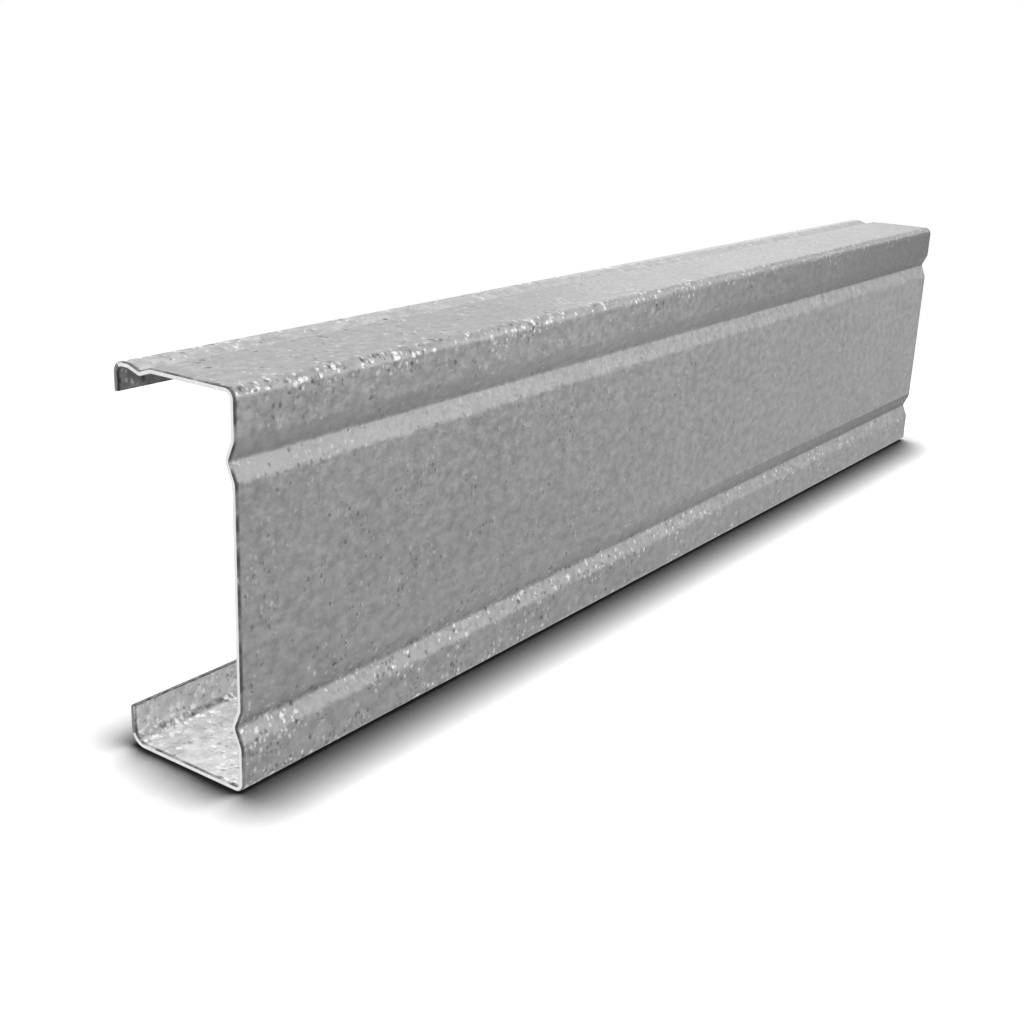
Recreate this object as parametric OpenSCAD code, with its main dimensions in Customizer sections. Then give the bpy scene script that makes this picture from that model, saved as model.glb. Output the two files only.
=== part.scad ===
// Lipped C-channel of light galvanised steel: one strip of sheet, cold roll-formed and cut to length.
// It stands on its lower flange. X runs along its length, the back of the web faces -Y, the open
// side with the lips faces +Y, and +Z is up. The origin is the centre of its footprint, at the base.

/* [Section] */
// Height of the channel, over the outer faces of both flanges
web_height = 100; // [80:1:250]
// Width of each flange, from the back of the web to the outer face of the lip
flange_width = 40; // [30:1:100]
// Depth of the upper lip, from the outer face of its flange to the cut edge of the strip
upper_lip_depth = 7.5; // [5:0.5:30]
// Depth of the lower lip, from the outer face of its flange to the cut edge of the strip
lower_lip_depth = 11; // [6:0.5:30]
// Thickness of the sheet
sheet_thickness = 1.2; // [0.5:0.1:2]

/* [Length] */
// Cut length of the piece
channel_length = 430; // [50:10:6000]

/* [Bends] */
// Inside radius of the two bends between the web and the flanges
web_bend_radius = 1.5; // [0.5:0.1:4]
// Inside radius of the bend between the upper flange and its lip
upper_lip_bend_radius = 1.8; // [0.5:0.1:2.2]
// Inside radius of the bend between the lower flange and its lip
lower_lip_bend_radius = 3.3; // [0.5:0.1:4]

/* [Web grooves] */
// Distance from the outer face of each flange to the bottom of the web groove beside it
web_groove_offset = 17; // [12:0.5:30]
// Width of a web groove, between the flats of the web
web_groove_width = 11.5; // [9:0.5:16]
// Depth of a web groove, on the back of the web
web_groove_depth = 2; // [0.5:0.1:3]
// Inside radius of the soft bends where a web groove leaves the flat of the web
web_groove_shoulder = 3; // [0.5:0.1:4]
// Inside radius of the bend along the bottom of a web groove
web_groove_bottom = 1.5; // [0.3:0.1:2]

/* [Flange groove] */
// Distance from the outer face of the upper lip to the bottom of the groove in the upper flange
flange_groove_offset = 9; // [7.5:0.5:15]
// Width of the flange groove, between the flats of the flange
flange_groove_width = 8; // [5.5:0.5:10]
// Depth of the flange groove, on the outer face of the flange
flange_groove_depth = 1.2; // [0.5:0.1:2.2]
// Inside radius of the bends where the flange groove leaves the flat of the flange
flange_groove_shoulder = 1; // [0.5:0.1:1.5]
// Inside radius of the bend along the bottom of the flange groove
flange_groove_bottom = 0.6; // [0.3:0.1:1]

/* [Hidden] */

// Facets to a full turn of a bend, which is a true arc in the solid
$fn = 96;
// Steps in each small arc of a groove's outline
arc_steps = 6;

// Outside radii of the bends
web_bend_outside = web_bend_radius + sheet_thickness;
upper_lip_bend_outside = upper_lip_bend_radius + sheet_thickness;
lower_lip_bend_outside = lower_lip_bend_radius + sheet_thickness;

// Lengths of the flats that the bends and grooves leave between them
upper_lip_flat = upper_lip_depth - upper_lip_bend_outside;
lower_lip_flat = lower_lip_depth - lower_lip_bend_outside;
lower_flange_flat = flange_width - web_bend_outside - lower_lip_bend_outside;
flange_outer_flat = flange_groove_offset - flange_groove_width / 2 - upper_lip_bend_outside;
flange_inner_flat = flange_width - flange_groove_offset - flange_groove_width / 2 - web_bend_outside;
web_side_flat = web_groove_offset - web_groove_width / 2 - web_bend_outside;
web_middle_flat = web_height - 2 * web_groove_offset - web_groove_width;

// Slope of a groove's sides, at which two shoulder arcs, two straight sides and the bottom arc
// span exactly the width and reach exactly the depth. radii is the sum of both arcs' outer radii.
function side_slope(half_width, depth, radii) =
    atan2(half_width, radii - depth) - acos(radii / norm([radii - depth, half_width]));

// Points along an arc, both ends included
function arc(centre, radius, from, to) =
    [for (i = [0:arc_steps]) centre + radius * unit(from + (to - from) * i / arc_steps)];
function unit(angle) = [cos(angle), sin(angle)];

function reversed(points) = [for (i = [len(points) - 1:-1:0]) points[i]];
// One side of a groove and its mirror image across the middle, where they share a point
function both_sides(points, middle) =
    concat(points, [for (i = [len(points) - 2:-1:0]) [2 * middle - points[i].x, points[i].y]]);

// The section is a chain of stretches of strip. Each stretch starts at the origin and runs along
// the first axis, with the sheet's outer face on that axis and its inner face above it. It draws
// itself and carries its children, the rest of the chain, to its far end.

module flat(length) {
    square([length, sheet_thickness]);
    translate([length, 0])
        children();
}

// A quarter turn towards the inner face
module bend(inside_radius) {
    outside_radius = inside_radius + sheet_thickness;
    intersection() {
        translate([0, outside_radius])
            difference() {
                circle(outside_radius);
                circle(inside_radius);
            }
        square(outside_radius);
    }
    translate([outside_radius, outside_radius])
        rotate(90)
            children();
}

// A V pressed towards the inner face. shoulder and bottom are the inside radii of its bends: the
// arc at each shoulder and the one over its bottom.
module groove(width, depth, shoulder, bottom) {
    middle = width / 2;
    slope = side_slope(middle, depth, shoulder + sheet_thickness + bottom);
    down = -90;
    up = 90;
    shoulder_centre = [0, shoulder + sheet_thickness];
    bottom_centre = [middle, depth - bottom];
    outer_face = concat(
        arc(shoulder_centre, shoulder + sheet_thickness, down, down + slope),
        arc(bottom_centre, bottom, up + slope, up));
    inner_face = concat(
        arc(shoulder_centre, shoulder, down, down + slope),
        arc(bottom_centre, bottom + sheet_thickness, up + slope, up));
    polygon(concat(both_sides(outer_face, middle), reversed(both_sides(inner_face, middle))));
    translate([width, 0])
        children();
}

module web_groove() {
    groove(web_groove_width, web_groove_depth, web_groove_shoulder, web_groove_bottom)
        children();
}

module flange_groove() {
    groove(flange_groove_width, flange_groove_depth, flange_groove_shoulder, flange_groove_bottom)
        children();
}

// From the cut edge of the upper lip, over the upper flange, down the web, along the lower flange
// and up the lower lip to its cut edge
module strip() {
    flat(upper_lip_flat)
    bend(upper_lip_bend_radius)
    flat(flange_outer_flat)
    flange_groove()
    flat(flange_inner_flat)
    bend(web_bend_radius)
    flat(web_side_flat)
    web_groove()
    flat(web_middle_flat)
    web_groove()
    flat(web_side_flat)
    bend(web_bend_radius)
    flat(lower_flange_flat)
    bend(lower_lip_bend_radius)
    flat(lower_lip_flat);
}

// The strip starts upwards at the upper lip, in the plane across the length: depth, then height
module section() {
    translate([flange_width / 2, web_height - upper_lip_depth])
        rotate(90)
            strip();
}

module c_channel() {
    color([0.66, 0.67, 0.68])
        translate([-channel_length / 2, 0, 0])
            rotate([90, 0, 90])
                linear_extrude(channel_length)
                    section();
}

c_channel();
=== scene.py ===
"""The looks of one length of lipped C-channel in galvanised steel sheet, on a white studio floor.

Lengths are in metres, in the frame of the CAD model: X along the channel, the back of the web
towards -Y, the lips towards +Y, and the floor at Z = 0.
"""

import math

import bpy
import numpy as np
from mathutils import Matrix, Vector


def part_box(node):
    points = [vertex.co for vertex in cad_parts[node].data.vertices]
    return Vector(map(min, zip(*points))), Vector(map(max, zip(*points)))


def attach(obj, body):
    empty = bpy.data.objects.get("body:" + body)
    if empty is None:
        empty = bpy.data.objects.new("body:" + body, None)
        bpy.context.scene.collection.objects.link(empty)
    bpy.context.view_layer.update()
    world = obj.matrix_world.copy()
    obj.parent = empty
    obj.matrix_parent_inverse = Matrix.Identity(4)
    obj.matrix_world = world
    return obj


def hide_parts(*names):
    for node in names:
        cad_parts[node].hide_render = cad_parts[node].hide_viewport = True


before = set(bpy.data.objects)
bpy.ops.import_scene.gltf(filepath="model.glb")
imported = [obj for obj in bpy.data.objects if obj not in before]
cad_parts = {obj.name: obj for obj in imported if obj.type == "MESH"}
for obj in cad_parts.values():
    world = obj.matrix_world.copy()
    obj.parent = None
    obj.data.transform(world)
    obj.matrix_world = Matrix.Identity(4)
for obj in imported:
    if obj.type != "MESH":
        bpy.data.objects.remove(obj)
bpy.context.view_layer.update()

MM = 0.001
QUARTER_TURN = math.radians(90)

# The overall sizes, from the CAD node's box
LOW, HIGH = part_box("c_channel")
MIDDLE = (LOW + HIGH) / 2
HALF_LENGTH = (HIGH.x - LOW.x) / 2
HEIGHT = HIGH.z - LOW.z
FLANGE = HIGH.y - LOW.y

# The section's other sizes, as in the CAD model
SHEET = 1.2 * MM
UPPER_LIP = 7.5 * MM
LOWER_LIP = 11 * MM
WEB_BEND = 1.5 * MM
UPPER_LIP_BEND = 1.8 * MM
LOWER_LIP_BEND = 3.3 * MM
WEB_GROOVE = {"width": 11.5 * MM, "depth": 2 * MM, "shoulder": 3 * MM, "bottom": 1.5 * MM}
WEB_GROOVE_OFFSET = 17 * MM
FLANGE_GROOVE = {"width": 8 * MM, "depth": 1.2 * MM, "shoulder": 1 * MM, "bottom": 0.6 * MM}
FLANGE_GROOVE_OFFSET = 9 * MM

# How finely the strip is drawn
BEND_STEPS = 14
GROOVE_STEPS = 6
FLAT_STEP = 3 * MM
LENGTH_STEP = 5 * MM
# Stations closer to each other than this are one
SAME_STATION = 0.0001 * MM
# Rounding that the slitters leave along the strip's own edges, and the shears on its cut ends,
# which roll the outer face over more than the inner one
SLIT_ROUNDING = 0.3 * MM
SHEAR_ROUNDING = 0.24 * MM
INNER_ROLL = 0.4
EDGE_STEPS = 3
# Loops beside each edge and bend, which hold it crisp
EDGE_SUPPORT = 0.25 * MM
# Faces that meet at more than this are shaded apart
SHARP_ANGLE = math.radians(50)
# How far in from the lips' outer faces the cut ends are dull, where the shears dragged zinc over
# them
DULL_LIP_END = 1.5 * SHEET

# How roughly the rollers treated the upper flange's flat, and the lower side of the lower groove,
# and so how much painted glint their bright grains get
FLANGE_MARKS_AND_GLINT = 0.3
GROOVE_MARKS_AND_GLINT = 0.7
# How far the marks of the rollers, with their painted glint, reach on either side of a bend
MARKS_AND_GLINT_REACH = 8 * MM
# Painted light on the inner face, at these shares of the section's height: full on the lower
# flange, and so low under the upper flange that it stands for the shade there
PAINTED_LIGHT_AT = (0.0, 0.1, 0.2, 0.85, 0.92)
PAINTED_LIGHT = (1.0, 1.0, 0.55, 0.45, 0.1)
# and painted light on the outer face between the upper lip and the flange's groove, which lifts the
# groove's shaded side
PAINTED_LIGHT_BESIDE_LIP = 0.22


def unit(angle):
    return np.array([math.cos(angle), math.sin(angle)])


class Strip:
    """The strip's section, drawn from the cut edge of the upper lip as the rollers bent it.

    Each station is a pair of points (y, z) that face each other across the sheet, on its outer
    and its inner face. inward holds the direction from each point into the steel. bent says how
    the outer face is bent there: 1 stretched over a bend, -1 pressed into one. The rollers' marks
    say how roughly they treated both faces, from 0 to 1, and so how much painted glint the zinc's
    bright grains get there.
    """

    def __init__(self, start, heading):
        self.place = np.array(start)
        self.heading = heading
        self.outer, self.inner = [], []
        self.inward = []
        self.bent = []
        self.marks_and_glint = []

    def _turned(self, point):
        c, s = unit(self.heading)
        return np.array([c * point[0] - s * point[1], s * point[0] + c * point[1]])

    def _add(self, outer, inner, bent=0.0, marks_and_glint=0.0, lean=None):
        """One station. lean is the outer point's way inwards where it isn't across the sheet."""
        outer, inner = self.place + self._turned(outer), self.place + self._turned(inner)
        if self.outer:
            moved = (outer + inner - self.outer[-1] - self.inner[-1]) / 2
            if np.linalg.norm(moved) < SAME_STATION:
                return
        across = (inner - outer) / np.linalg.norm(inner - outer)
        ways = (across, -across)
        if lean is not None:
            ways = (self._turned(lean), self._turned((lean[0], -lean[1])))
        self.outer.append(outer)
        self.inner.append(inner)
        self.inward.append(ways)
        self.bent.append(bent)
        self.marks_and_glint.append(marks_and_glint)

    def _move(self, x, y):
        self.place = self.place + self._turned((x, y))

    def slit_edge(self, opening):
        """The strip's own edge, at its start or at its end, with its two corners rounded."""
        side = 1 if opening else -1
        for i in range(EDGE_STEPS + 1):
            a = QUARTER_TURN * i / EDGE_STEPS
            if not opening:
                a = QUARTER_TURN - a
            x = SLIT_ROUNDING * (1 - math.cos(a) if opening else math.cos(a))
            y = SLIT_ROUNDING * (1 - math.sin(a))
            self._add((x, y), (x, SHEET - y), lean=(side * math.cos(a), math.sin(a)))
        self._move(SLIT_ROUNDING, 0.0)

    def flat(self, length, marks_and_glint=0.0):
        """A flat, with a loop close to each of its ends so that the bends stay crisp."""
        spans = max(1, round((length - 2 * EDGE_SUPPORT) / FLAT_STEP))
        inside = np.linspace(EDGE_SUPPORT, length - EDGE_SUPPORT, spans + 1)
        for x in (0.0, *inside, length):
            self._add((x, 0.0), (x, SHEET), marks_and_glint=marks_and_glint)
        self._move(length, 0.0)

    def bend(self, inside_radius):
        """A quarter turn towards the inner face, worked hardest, and with the most painted glint,
        at its middle.
        """
        outside = inside_radius + SHEET
        centre = np.array([0.0, outside])
        for i in range(BEND_STEPS + 1):
            way = unit(QUARTER_TURN * (i / BEND_STEPS - 1))
            bent = math.sin(math.pi * i / BEND_STEPS)
            self._add(centre + outside * way, centre + inside_radius * way, bent, marks_and_glint=bent)
        self._move(outside, outside)
        self.heading += QUARTER_TURN

    def groove(self, width, depth, shoulder, bottom, marks_and_glint=0.0):
        """A V pressed towards the inner face, with an arc at each shoulder and at its bottom.

        shoulder and bottom are the arcs' inside radii. The rollers' marks, with their painted
        glint, are for the second side alone.
        """
        middle = width / 2
        radii = shoulder + SHEET + bottom
        slope = math.atan2(middle, radii - depth) - math.acos(
            radii / math.hypot(radii - depth, middle)
        )
        stations = []
        top = np.array([0.0, shoulder + SHEET])
        for i in range(GROOVE_STEPS + 1):
            way = unit(slope * i / GROOVE_STEPS - QUARTER_TURN)
            bent = 0.5 * math.sin(math.pi * i / GROOVE_STEPS)
            stations.append((top + (shoulder + SHEET) * way, top + shoulder * way, bent))
        under = np.array([middle, depth - bottom])
        for i in range(GROOVE_STEPS + 1):
            way = unit(slope * (1 - i / GROOVE_STEPS) + QUARTER_TURN)
            bent = -math.sin(QUARTER_TURN * i / GROOVE_STEPS)
            stations.append((under + bottom * way, under + (bottom + SHEET) * way, bent))
        for station in stations:
            self._add(*station)
        for outer, inner, bent in stations[-2::-1]:
            self._add((width - outer[0], outer[1]), (width - inner[0], inner[1]), bent, marks_and_glint)
        self._move(width, 0.0)


def rolled_strip():
    """The whole section, from the upper lip over the web to the lower lip."""
    web_out, upper_out, lower_out = (
        radius + SHEET for radius in (WEB_BEND, UPPER_LIP_BEND, LOWER_LIP_BEND)
    )
    web_half, flange_half = WEB_GROOVE["width"] / 2, FLANGE_GROOVE["width"] / 2
    strip = Strip((HIGH.y, HIGH.z - UPPER_LIP), QUARTER_TURN)
    strip.slit_edge(opening=True)
    strip.flat(UPPER_LIP - upper_out - SLIT_ROUNDING)
    strip.bend(UPPER_LIP_BEND)
    strip.flat(FLANGE_GROOVE_OFFSET - flange_half - upper_out)
    strip.groove(**FLANGE_GROOVE)
    strip.flat(FLANGE - FLANGE_GROOVE_OFFSET - flange_half - web_out, marks_and_glint=FLANGE_MARKS_AND_GLINT)
    strip.bend(WEB_BEND)
    strip.flat(WEB_GROOVE_OFFSET - web_half - web_out)
    strip.groove(**WEB_GROOVE)
    strip.flat(HEIGHT - 2 * WEB_GROOVE_OFFSET - 2 * web_half)
    strip.groove(**WEB_GROOVE, marks_and_glint=GROOVE_MARKS_AND_GLINT)
    strip.flat(WEB_GROOVE_OFFSET - web_half - web_out)
    strip.bend(WEB_BEND)
    strip.flat(FLANGE - web_out - lower_out)
    strip.bend(LOWER_LIP_BEND)
    strip.flat(LOWER_LIP - lower_out - SLIT_ROUNDING)
    strip.slit_edge(opening=False)
    return strip


def rings_along():
    """Where the section is repeated: each ring's X, and how far it is drawn in at a cut end."""
    rounding = [
        (HALF_LENGTH - SHEAR_ROUNDING * (1 - math.sin(a)), SHEAR_ROUNDING * (1 - math.cos(a)))
        for a in np.linspace(0, QUARTER_TURN, EDGE_STEPS + 1)
    ]
    body_end = rounding[0][0] - EDGE_SUPPORT
    spans = math.ceil(2 * body_end / LENGTH_STEP)
    body = [(x, 0.0) for x in np.linspace(-body_end, body_end, spans + 1)]
    rings = [(-x, inset) for x, inset in reversed(rounding)] + body + rounding
    return [(MIDDLE.x + x, inset) for x, inset in rings]


def marks_round(strip, unrolled):
    """What the rollers left at each point round the section, which the zinc's material reads.

    Each list holds the outer face's points first and then the inner face's, back to the start.
    """
    outer_y, outer_z = np.array(strip.outer).T
    inner_z = np.array(strip.inner[::-1])[:, 1]
    plain = np.zeros(len(strip.outer))

    # Their marks at a bend, with their painted glint, fade out beside it
    apart = np.abs(unrolled[:, None] - unrolled[None, :])
    marks_and_glint = np.array(strip.marks_and_glint + strip.marks_and_glint[::-1])
    marks_and_glint = np.max(marks_and_glint * np.clip(1 - apart / MARKS_AND_GLINT_REACH, 0, 1), axis=1)

    # The inner face is pressed together where the outer one is stretched, and gets painted shade
    # there
    corner = np.concatenate([plain, np.maximum(strip.bent[::-1], 0)])

    # Painted light: a little beside the upper lip, and on the inner face least under the upper
    # flange, which stands for its shade, and most on the lower one, which stands for the light that
    # falls there
    beside_lip = (outer_y > HIGH.y - FLANGE_GROOVE_OFFSET) & (outer_z > HIGH.z - UPPER_LIP_BEND)
    inside = np.interp((inner_z - LOW.z) / HEIGHT, PAINTED_LIGHT_AT, PAINTED_LIGHT)
    painted_light = np.concatenate([PAINTED_LIGHT_BESIDE_LIP * beside_lip, inside])

    # Painted shade on the web from its upper bend to the middle of its upper groove, and on the
    # side of its lower groove that faces down
    below_top = HIGH.z - outer_z
    above_groove = outer_z - LOW.z - WEB_GROOVE_OFFSET
    upper_band = (below_top > WEB_BEND) & (below_top < WEB_GROOVE_OFFSET)
    turned_down = (above_groove > 0) & (above_groove < WEB_GROOVE["width"] / 2)
    on_web = outer_y < LOW.y + WEB_BEND + SHEET
    painted_shade = np.concatenate([on_web & (upper_band | turned_down), plain])

    return {"marks_and_glint": marks_and_glint, "corner": corner, "painted_light": painted_light, "painted_shade": painted_shade}


# Material slots of the channel's own mesh
ZINC, SHEARED, SLIT = range(3)


def side_faces(count, ring_count):
    """The skin from ring to ring. The strip's own edges are at the section's first and last
    station, and have a material of their own."""
    size = 2 * count
    faces, kinds = [], []
    for ring in range(ring_count - 1):
        near, far = ring * size, (ring + 1) * size
        for k in range(size):
            n = (k + 1) % size
            faces.append((near + k, near + n, far + n, far + k))
            at_slit = min(k + 1, size - 1 - k, abs(k - count + 1)) <= EDGE_STEPS
            kinds.append(SLIT if at_slit else ZINC)
    return faces, kinds


def end_faces(loop, last):
    """Both cut ends, from each station to the next. last is where the last ring's points begin."""
    size = len(loop)
    faces, kinds = [], []
    for k in range(size // 2 - 1):
        mate = size - 1 - k
        faces.append((k + 1, k, mate, mate - 1))
        faces.append((last + k, last + k + 1, last + mate - 1, last + mate))
        y, z = (loop[k] + loop[mate - 1]) / 2
        on_lip = y > HIGH.y - DULL_LIP_END and z > LOW.z + LOWER_LIP_BEND
        kinds += 2 * [SLIT if on_lip else SHEARED]
    return faces, kinds


def channel_object():
    """The strip as one closed skin, with its cut ends and its own edges rounded a little."""
    strip = rolled_strip()
    count = len(strip.outer)
    # One loop round the section: the outer face to the lower lip, and back along the inner face
    loop = np.array(strip.outer + strip.inner[::-1])
    inward = np.array([w[0] for w in strip.inward] + [w[1] for w in strip.inward[::-1]])
    inward[count:] *= INNER_ROLL
    steps = np.linalg.norm(np.diff(loop, axis=0), axis=1)
    unrolled = np.concatenate([[0.0], np.cumsum(steps)])

    rings = rings_along()
    verts = [(x, y, z) for x, inset in rings for y, z in loop + inward * inset]
    faces, kinds = side_faces(count, len(rings))
    caps, cap_kinds = end_faces(loop, last=(len(rings) - 1) * len(loop))

    mesh = bpy.data.meshes.new("channel_strip")
    mesh.from_pydata(verts, [], faces + caps)
    mesh.polygons.foreach_set("use_smooth", [True] * len(mesh.polygons))
    mesh.polygons.foreach_set("material_index", kinds + cap_kinds)
    mesh.set_sharp_from_angle(angle=SHARP_ANGLE)

    # Coordinates on the unrolled sheet, in metres, for the zinc's grain
    sheet_map = mesh.uv_layers.new(name="sheet")
    vertex = np.zeros(len(mesh.loops), np.int32)
    mesh.loops.foreach_get("vertex_index", vertex)
    ring, station = np.divmod(vertex, len(loop))
    along = np.array([x for x, _ in rings])
    uv = np.column_stack([along[ring], unrolled[station]])
    sheet_map.uv.foreach_set("vector", uv.astype(np.float32).ravel())
    for name, values in marks_round(strip, unrolled).items():
        layer = mesh.attributes.new(name, "FLOAT", "POINT")
        layer.data.foreach_set("value", np.tile(values, len(rings)).astype(np.float32))

    mesh.validate()
    made = bpy.data.objects.new("channel_strip", mesh)
    bpy.context.scene.collection.objects.link(made)
    return made


class Nodes:
    """A short way to write the nodes of a material or of the world."""

    def __init__(self, owner):
        owner.use_nodes = True
        self.owner = owner
        self.tree = owner.node_tree
        self.tree.nodes.clear()

    def node(self, kind, inputs=None, **settings):
        made = self.tree.nodes.new("ShaderNode" + kind)
        for name, value in settings.items():
            setattr(made, name, value)
        for name, value in (inputs or {}).items():
            if isinstance(value, bpy.types.NodeSocket):
                self.tree.links.new(value, made.inputs[name])
            else:
                made.inputs[name].default_value = value
        return made

    def math(self, operation, a, b=None, c=None):
        inputs = {i: v for i, v in enumerate((a, b, c)) if v is not None}
        return self.node("Math", inputs, operation=operation).outputs[0]

    def vector_math(self, operation, a, b=None, c=None):
        inputs = {i: v for i, v in enumerate((a, b, c)) if v is not None}
        return self.node("VectorMath", inputs, operation=operation).outputs

    def remap(self, value, low, high, to_low, to_high):
        inputs = {
            "Value": value,
            "From Min": low,
            "From Max": high,
            "To Min": to_low,
            "To Max": to_high,
        }
        return self.node("MapRange", inputs).outputs["Result"]

    def graded(self, level, by, low, high, to_low, to_high):
        """The level, times what by is remapped to."""
        return self.math("MULTIPLY", level, self.remap(by, low, high, to_low, to_high))

    def raised(self, level, *parts):
        """The level, with each part times its weight added to it."""
        for part, weight in parts:
            level = self.math("MULTIPLY_ADD", part, weight, level)
        return level

    def grey(self, level):
        inputs = {"Red": level, "Green": level, "Blue": level}
        return self.node("CombineColor", inputs).outputs["Color"]

    def stretched(self, vector, scale):
        return self.node("Mapping", {"Vector": vector, "Scale": scale}).outputs["Vector"]

    def noise(self, vector, scale, detail=2, roughness=0.6):
        inputs = {"Vector": vector, "Scale": scale, "Detail": detail, "Roughness": roughness}
        return self.node("TexNoise", inputs, noise_dimensions="2D").outputs["Fac"]

    def ragged(self, vector, scale, reach):
        """The vector pushed about by noise, so that what is drawn on it has a ragged outline."""
        inputs = {"Vector": vector, "Scale": scale, "Detail": 1}
        push = self.node("TexNoise", inputs, noise_dimensions="2D").outputs["Color"]
        return self.vector_math("MULTIPLY_ADD", push, (reach, reach, 0), vector)["Vector"]

    def cells(self, vector, scale):
        """Random cells: distance from each one's middle, and three random numbers for each."""
        made = self.node("TexVoronoi", {"Vector": vector, "Scale": scale}, voronoi_dimensions="2D")
        split = self.node("SeparateColor", {"Color": made.outputs["Color"]}).outputs
        return made.outputs["Distance"], split["Red"], split["Green"], split["Blue"]

    def spots(self, vector, scale, share, least, most):
        """Bright spots in this share of random cells, and dark ones in 0.7 times that share.

        Both come back as a depth from 0 to 1. least and most are how wide they are in their cells.
        """
        apart, kind, size, _ = self.cells(vector, scale)
        depth = self.math("SUBTRACT", self.remap(size, 0, 1, least, most), apart)
        depth = self.remap(depth, 0, 0.3, 0, 1)
        bright = self.math("LESS_THAN", kind, share)
        dark = self.math("GREATER_THAN", kind, self.math("MULTIPLY_ADD", share, -0.7, 1.0))
        return self.math("MULTIPLY", depth, bright), self.math("MULTIPLY", depth, dark)


# How fine the zinc's patterns are, in spots to the metre
CLOUDS = 45
CLUSTERS = 70
EDGE_SHADE_PATCHES = 130
MOTTLING = 330
BROAD_SPOTS = 450
FINE_SPOTS = 680
SPANGLE = 1100
RAGGED_OUTLINES = 1400
GRAIN = 1500
# How far a ragged outline wanders
RAGGED_REACH = 1.3 * MM
# Scales that draw a pattern out along the strip, and across it
DRAWN_ALONG = (0.75, 1.0, 1.0)
DRAWN_ACROSS = (1.0, 0.7, 1.0)
# The strip's first end is the one at the lowest X. How far from it the clusters of spots, with
# their painted glints, are thicker, how far the broad painted glints reach, and between what
# distances the painted glint clusters on its bends fade
GLINT_CROWD_REACH = 170 * MM
BROAD_GLINT_REACH = 240 * MM
FIRST_END_GLINT_FADE = (12 * MM, 30 * MM)
# Where along the channel the web's painted shade begins
PAINTED_SHADE_START = -60 * MM
# How far from a cut end the painted shade line beside the rolled-over edge begins, and is at its
# darkest
EDGE_SHADE_LINE = (1.1 * MM, 0.5 * MM)
# How bright the zinc is, and how bright it is painted where the painted light is full
ZINC_LEVEL = 0.345
FULL_PAINTED_LIGHT_LEVEL = 0.78
# How far the flakes of the spangle lean at most, in the colours of a normal map
FLAKE_LEAN = 0.04


def grains_and_pits(n, sheet, along, marks_and_glint, painted_light):
    """Bright grains, which carry painted glint, and dark pits in loose clusters, as a depth from 0
    to 1 each.

    They are thicker where the sheet is bent, towards its first end and where light is painted on
    the zinc, which puts the painted glints where highlights fall.
    """
    bends = n.math("MULTIPLY", marks_and_glint, marks_and_glint)
    # Painted glint clusters on the bends right at the first end
    glint_at_first_end = n.remap(along, *(LOW.x + reach for reach in FIRST_END_GLINT_FADE), 0.75, 0)
    clusters = n.math("MAXIMUM", n.noise(sheet, CLUSTERS), n.math("MULTIPLY", bends, glint_at_first_end))
    first_end = n.remap(along, LOW.x, LOW.x + GLINT_CROWD_REACH, 0.15, 0)
    crowd = n.raised(first_end, (clusters, 1.8), (bends, 0.48), (painted_light, 0.16))
    share = n.remap(crowd, 0.95, 1.5, 0.02, 0.6)
    outline = n.ragged(sheet, RAGGED_OUTLINES, RAGGED_REACH)
    bright, dark = n.spots(n.stretched(outline, DRAWN_ACROSS), FINE_SPOTS, share, 0.14, 0.46)

    # Broader ones lie on the bends near the first end, as painted glints with dark specks among
    # them
    broad_glint_share = n.graded(marks_and_glint, along, LOW.x, LOW.x + BROAD_GLINT_REACH, 0.5, 0)
    broad_glint_share = n.graded(broad_glint_share, clusters, 0.4, 0.62, 0.15, 1.5)
    broad_bright, broad_dark = n.spots(outline, BROAD_SPOTS, broad_glint_share, 0.2, 0.5)
    bright = n.math("MAXIMUM", bright, n.math("MULTIPLY", broad_bright, marks_and_glint))
    dark = n.math("MAXIMUM", n.math("MULTIPLY", dark, 0.72), broad_dark)
    return bright, dark


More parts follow.
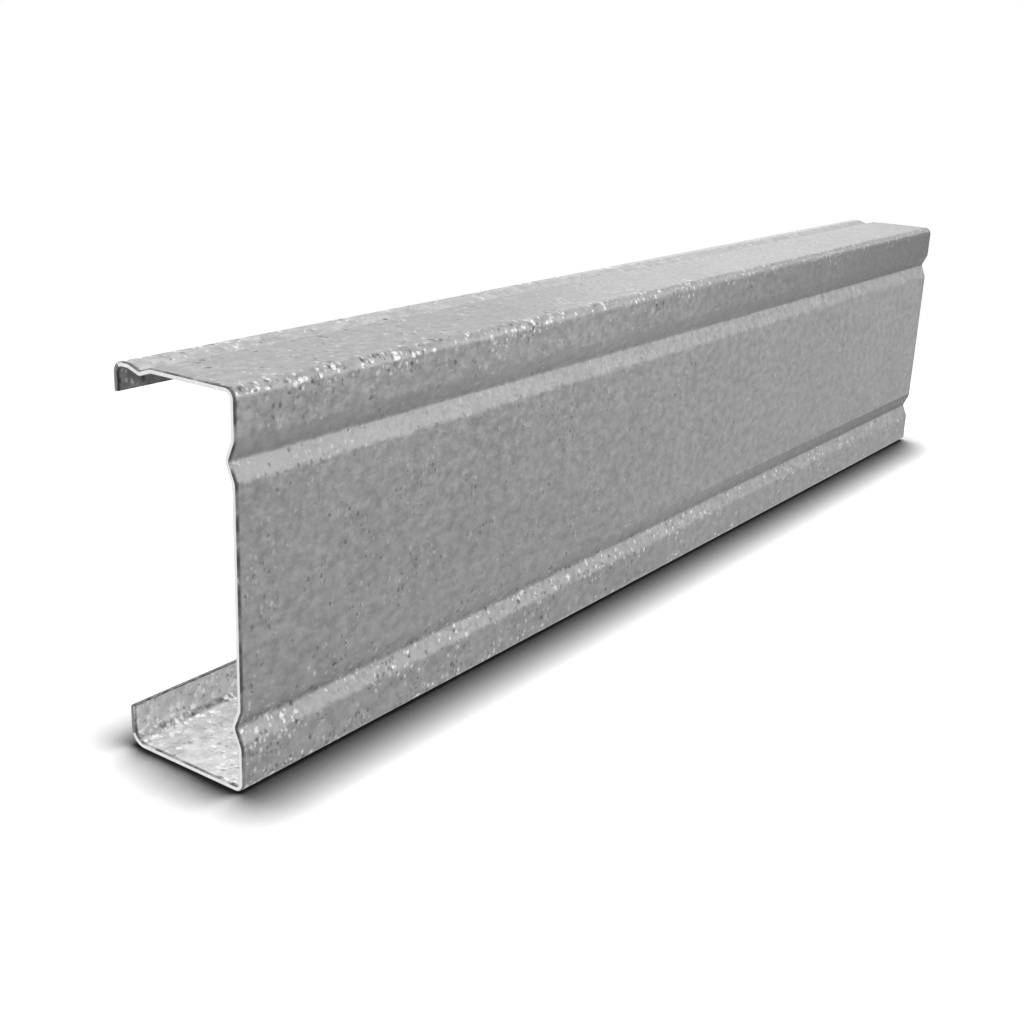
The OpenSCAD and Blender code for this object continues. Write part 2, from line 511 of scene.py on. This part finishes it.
def galvanised_steel():
    """Zinc on rolled sheet: soft mottling, fine spangle, and clusters of pits and bright grains."""
    n = Nodes(bpy.data.materials.new("galvanised_steel"))
    sheet = n.node("UVMap", uv_map="sheet").outputs["UV"]
    along = n.node("SeparateXYZ", {"Vector": sheet}).outputs["X"]
    marks_and_glint, corner, painted_light, painted_shade = (
        n.node("Attribute", attribute_name=name).outputs["Fac"]
        for name in ("marks_and_glint", "corner", "painted_light", "painted_shade")
    )
    bright, dark = grains_and_pits(n, sheet, along, marks_and_glint, painted_light)

    # The rollers drew the zinc's pattern out along the strip a little
    rolled = n.stretched(sheet, DRAWN_ALONG)
    _, tone, tilt_x, tilt_y = n.cells(rolled, SPANGLE)
    mottling = n.noise(rolled, MOTTLING, roughness=0.55)
    grain = n.noise(rolled, GRAIN, roughness=0.5)
    clouds = n.noise(sheet, CLOUDS, detail=3, roughness=0.5)

    level = n.remap(tone, 0, 1, 0.97, 1.03)
    level = n.graded(level, mottling, 0.25, 0.75, 0.8, 1.2)
    level = n.graded(level, grain, 0.25, 0.75, 0.96, 1.04)
    level = n.graded(level, clouds, 0.3, 0.7, 0.96, 1.04)
    level = n.graded(level, dark, 0, 1, 1, 0.33)
    # Painted glint: the bright grains get brighter where the rollers worked the sheet and where
    # light is painted on it
    painted_glint = n.math("MAXIMUM", n.remap(marks_and_glint, 0, 1, 0.45, 1.6), n.remap(painted_light, 0, 1, 0.45, 0.9))
    level = n.math("MULTIPLY_ADD", bright, painted_glint, level)
    # Painted light: brighter inside where light falls on the lower flange, darker where the upper
    # flange shades it
    level = n.graded(level, painted_light, 0, 1, ZINC_LEVEL, FULL_PAINTED_LIGHT_LEVEL)
    # Painted shade on those bands of the web, growing darker towards the far end
    painted_shade_level = n.graded(painted_shade, along, PAINTED_SHADE_START, HIGH.x, 0, 0.6)
    level = n.math("MULTIPLY", level, n.math("SUBTRACT", 1.0, painted_shade_level))

    # Patchy painted shade in the inside corners, and patches of a painted shade line where the
    # shears rolled the outer face over
    painted_corner_shade = n.graded(n.remap(corner, 0.7, 1, 0, 0.7), mottling, 0.4, 0.6, 0.1, 1)
    # A painted shade line along each cut end, beside the rolled-over edge
    painted_edge_shade = n.math("ABSOLUTE", along)
    painted_edge_shade = n.remap(painted_edge_shade, *(HIGH.x - reach for reach in EDGE_SHADE_LINE), 0, 0.8)
    painted_edge_shade = n.graded(painted_edge_shade, n.noise(sheet, EDGE_SHADE_PATCHES), 0.35, 0.55, 0.3, 1)
    level = n.math("MULTIPLY", level, n.math("SUBTRACT", 1.0, n.math("MAXIMUM", painted_corner_shade, painted_edge_shade)))

    flakes = n.node("CombineColor", {
        "Red": n.remap(tilt_x, 0, 1, 0.5 - FLAKE_LEAN, 0.5 + FLAKE_LEAN),
        "Green": n.remap(tilt_y, 0, 1, 0.5 - FLAKE_LEAN, 0.5 + FLAKE_LEAN),
        "Blue": 1.0,
    }).outputs["Color"]
    bump = n.node("Bump", {
        "Strength": 0.7,
        "Distance": 0.065 * MM,
        "Height": n.raised(mottling, (grain, 0.4), (bright, 0.5), (dark, -0.5)),
        "Normal": n.node("NormalMap", {"Color": flakes}, uv_map="sheet").outputs["Normal"],
    })
    shader = n.node("BsdfPrincipled", {
        "Base Color": n.grey(level),
        "Metallic": 0.55,
        "Roughness": n.remap(mottling, 0.25, 0.75, 0.34, 0.5),
        "Normal": bump.outputs["Normal"],
    })
    n.node("OutputMaterial", {"Surface": shader.outputs["BSDF"]})
    return n.owner


def sheared_edge():
    """Bare bright steel with a fine grain, where the strip was cut to length."""
    n = Nodes(bpy.data.materials.new("sheared_edge"))
    grain = n.noise(n.node("TexCoord").outputs["Object"], 2500)
    bump = n.node("Bump", {"Strength": 0.4, "Distance": 0.02 * MM, "Height": grain})
    shader = n.node("BsdfPrincipled", {
        "Base Color": n.grey(n.remap(grain, 0.3, 0.7, 0.74, 0.9)),
        "Metallic": 1.0,
        "Roughness": n.remap(grain, 0.3, 0.7, 0.28, 0.42),
        "Normal": bump.outputs["Normal"],
    })
    n.node("OutputMaterial", {"Surface": shader.outputs["BSDF"]})
    return n.owner


def slit_edge():
    """Dull grey steel along the strip's own edges and on the lips' cut ends, with zinc dragged
    over it lengthwise."""
    n = Nodes(bpy.data.materials.new("slit_edge"))
    dragged = n.stretched(n.node("TexCoord").outputs["Object"], (0.3, 1.0, 1.0))
    grain = n.noise(dragged, 1800, detail=3)
    bump = n.node("Bump", {"Strength": 0.5, "Distance": 0.03 * MM, "Height": grain})
    shader = n.node("BsdfPrincipled", {
        "Base Color": n.grey(n.remap(grain, 0.35, 0.65, 0.08, 0.34)),
        "Metallic": 0.7,
        "Roughness": n.remap(grain, 0.3, 0.7, 0.5, 0.65),
        "Normal": bump.outputs["Normal"],
    })
    n.node("OutputMaterial", {"Surface": shader.outputs["BSDF"]})
    return n.owner


channel = channel_object()
# In the order of the slots ZINC, SHEARED and SLIT
for material in (galvanised_steel(), sheared_edge(), slit_edge()):
    channel.data.materials.append(material)
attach(channel, "root")
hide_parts("c_channel")


FLOOR_REACH = 4.0
# Distances from the middle between which the floor's paint gives way to the background's white
FLOOR_FADE = (0.28, 0.4)
# How far away steel still shades the floor, all round and ahead along X, and the lean of the
# normal that looks for the steel ahead
SHADE_REACH = 20 * MM
SHADE_REACH_AHEAD = 30 * MM
SHADE_LEAN = (3.3, 0, 0)
# How white the floor's paint is where it lights the steel, and where the camera sees it, which
# makes up for the dim light that falls on it
FLOOR_WHITE = 0.8
SEEN_WHITE = 2.55
# The strength of the world's light on everything
FILL = 0.16


def seen(n):
    """1 for the rays by which the camera, or metal or glass, sees a surface."""
    path = n.node("LightPath").outputs
    shown = n.math("MAXIMUM", path["Is Camera Ray"], path["Is Glossy Ray"])
    return n.math("MAXIMUM", shown, path["Is Transmission Ray"])


def floor_material():
    """White paint that takes the object's shadow, darker right where the steel meets it.

    It fades to the background's white away from the object, and in reflections, which show no
    shadow.
    """
    n = Nodes(bpy.data.materials.new("studio_floor"))
    path = n.node("LightPath").outputs
    halo = n.node("AmbientOcclusion", {"Distance": SHADE_REACH}, samples=8).outputs["AO"]
    halo = n.remap(halo, 0.546, 1, 0.445, 1)
    # Thin steel ahead along X hides little of the sky, so it is looked for from a normal that
    # leans towards it
    upright = n.node("NewGeometry").outputs["Normal"]
    leaning = n.vector_math("ADD", upright, SHADE_LEAN)["Vector"]
    leaning = n.vector_math("NORMALIZE", leaning)["Vector"]
    inputs = {"Distance": SHADE_REACH_AHEAD, "Normal": leaning}
    ahead = n.node("AmbientOcclusion", inputs, samples=16).outputs["AO"]
    ahead = n.remap(ahead, 0.633, 1, 0.03, 1)
    white = n.node("MixRGB", {
        "Fac": path["Is Camera Ray"],
        "Color1": (FLOOR_WHITE, FLOOR_WHITE, FLOOR_WHITE, 1),
        "Color2": n.math("MULTIPLY", n.math("MULTIPLY", halo, ahead), SEEN_WHITE),
    })
    paint = n.node("BsdfDiffuse", {"Color": white.outputs["Color"]}).outputs["BSDF"]

    away = n.vector_math("LENGTH", n.node("TexCoord").outputs["Object"])["Value"]
    far = n.math("MULTIPLY", n.remap(away, *FLOOR_FADE, 0, 1), seen(n))
    mirrored = n.math("MAXIMUM", path["Is Glossy Ray"], path["Is Transmission Ray"])
    fade = n.math("MAXIMUM", far, mirrored)
    glow = n.node("Emission", {"Strength": 1.0}).outputs["Emission"]
    mixed = n.node("MixShader", {0: fade, 1: paint, 2: glow}).outputs["Shader"]
    n.node("OutputMaterial", {"Surface": mixed})
    return n.owner


def studio_floor():
    ways = ((-1, -1), (1, -1), (1, 1), (-1, 1))
    corners = [(x * FLOOR_REACH, y * FLOOR_REACH, 0) for x, y in ways]
    mesh = bpy.data.meshes.new("floor")
    mesh.from_pydata(corners, [], [range(4)])
    mesh.materials.append(floor_material())
    made = bpy.data.objects.new("floor", mesh)
    bpy.context.scene.collection.objects.link(made)
    return made


def studio_world():
    """White where it is seen, and a faint fill for everything else."""
    n = Nodes(bpy.data.worlds.new("studio"))
    strength = n.remap(seen(n), 0, 1, FILL, 1.0)
    back = n.node("Background", {"Color": (1, 1, 1, 1), "Strength": strength})
    n.node("OutputWorld", {"Surface": back.outputs["Background"]})
    bpy.context.scene.world = n.owner


def softbox(name, place, size, watts, only=None, diffuse=True, sheen=True):
    """A soft lamp that faces the channel. It may light one object only, and do without its
    diffuse light or its sheen."""
    lamp = bpy.data.lights.new(name, "AREA")
    lamp.shape = "RECTANGLE"
    lamp.size, lamp.size_y = size
    lamp.energy = watts
    obj = bpy.data.objects.new(name, lamp)
    obj.location = place
    obj.rotation_mode = "QUATERNION"
    obj.rotation_quaternion = (MIDDLE - Vector(place)).to_track_quat("-Z", "Y")
    obj.visible_camera = False
    obj.visible_diffuse = diffuse
    obj.visible_glossy = sheen
    bpy.context.scene.collection.objects.link(obj)
    if only:
        lit = bpy.data.collections.new(name)
        lit.objects.link(only)
        obj.light_linking.receiver_collection = lit


floor = studio_floor()
studio_world()
softbox("overhead", (0, 0.2, 3), (0.7, 0.8), watts=35)
softbox("front", (0.59, -1.02, 0.3), (1.0, 0.6), watts=2.7, diffuse=False)
softbox("front_right", (0.85, -0.6, 0.65), (0.9, 0.9), watts=1.6, diffuse=False)
softbox("far_end", (1.05, 0.49, 0.34), (0.4, 0.4), watts=0.38, diffuse=False)
softbox("near_left", (-1.02, -0.18, 0.65), (0.4, 0.4), watts=13.5, only=channel, sheen=False)


# Where the camera stands, which way it looks, and its tilt about that line
CAMERA_PLACE = Vector((-0.42292, -0.24099, 0.17491))
YAW, PITCH, ROLL = (math.radians(a) for a in (35.02, 18.68, 2.42))
# Blender has these two in millimetres
LENS = 49.4
SENSOR = 36
# What the camera shows lies between these distances from it
NEAREST, FARTHEST = 0.01, 50


def studio_camera():
    data = bpy.data.cameras.new("camera")
    data.sensor_width = SENSOR
    data.lens = LENS
    data.clip_start, data.clip_end = NEAREST, FARTHEST
    made = bpy.data.objects.new("camera", data)
    bpy.context.scene.collection.objects.link(made)
    forward = Vector((
        math.cos(PITCH) * math.cos(YAW),
        math.cos(PITCH) * math.sin(YAW),
        -math.sin(PITCH),
    ))
    level_right = Vector((math.sin(YAW), -math.cos(YAW), 0))
    level_up = level_right.cross(forward)
    right = math.cos(ROLL) * level_right + math.sin(ROLL) * level_up
    up = right.cross(forward)
    turn = Matrix((right, up, -forward)).transposed()
    made.matrix_world = Matrix.LocRotScale(CAMERA_PLACE, turn.to_quaternion(), None)
    return made


bpy.context.scene.camera = studio_camera()
bpy.context.scene.view_settings.view_transform = "Standard"
